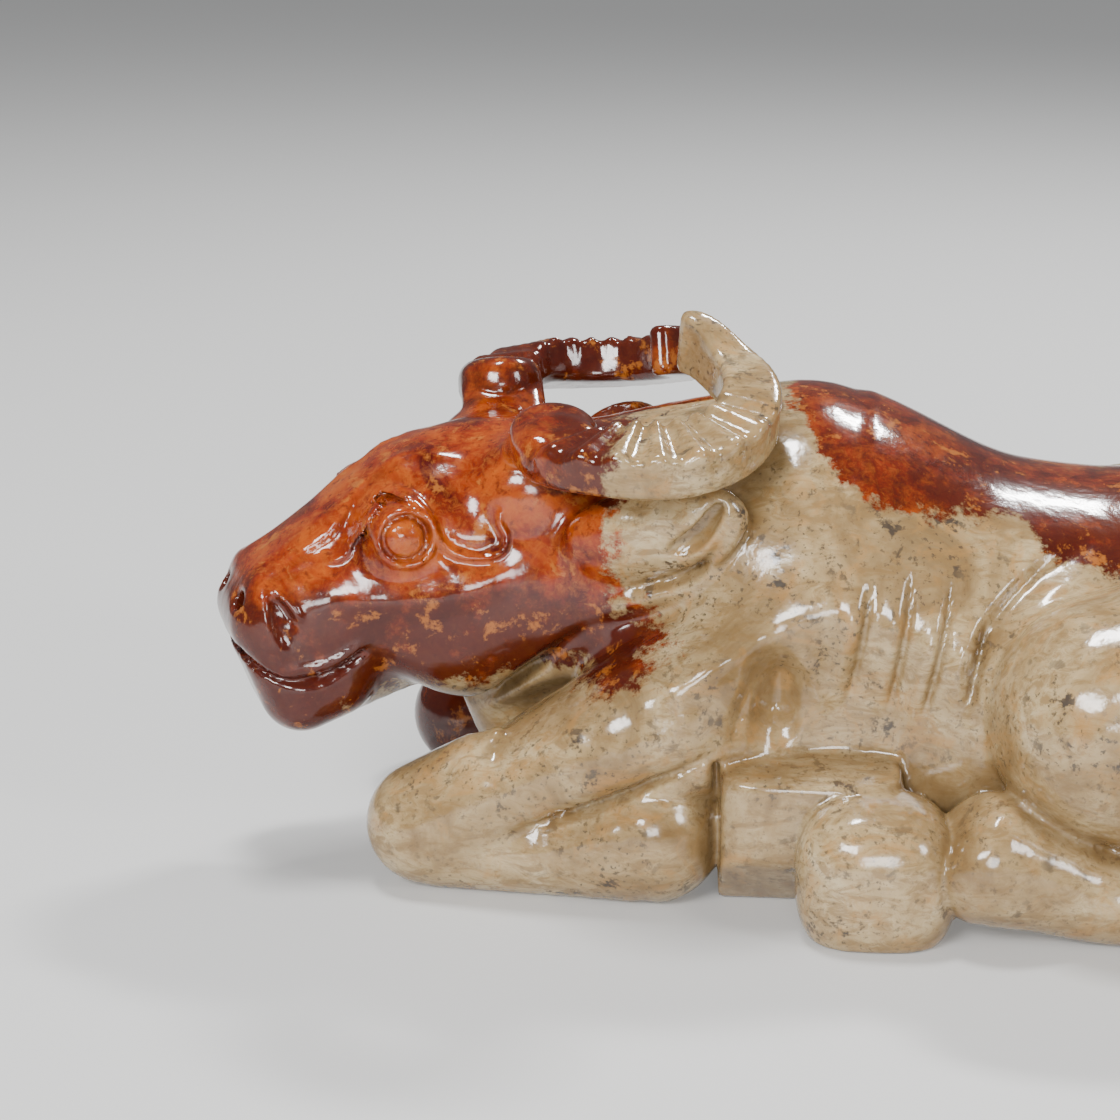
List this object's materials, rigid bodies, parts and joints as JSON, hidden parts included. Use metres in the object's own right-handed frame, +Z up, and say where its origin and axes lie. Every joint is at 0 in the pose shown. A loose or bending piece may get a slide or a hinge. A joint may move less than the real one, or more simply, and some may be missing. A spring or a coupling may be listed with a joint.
{
  "type": "jade ox carving",
  "caption": "Small polished two-tone jade carving of a recumbent horned ox with folded legs.",
  "frame": {"origin": "on the flat underside, below the middle of the chest", "axes": "+X towards the rump, -Y to the ox's own left, +Z up from the surface it rests on"},
  "size_m": [0.1248, 0.072, 0.0546],
  "materials": {
    "jade": "polished"
  },
  "bodies": {
    "root": {"jade_ox": "jade"}
  },
  "joints": []
}
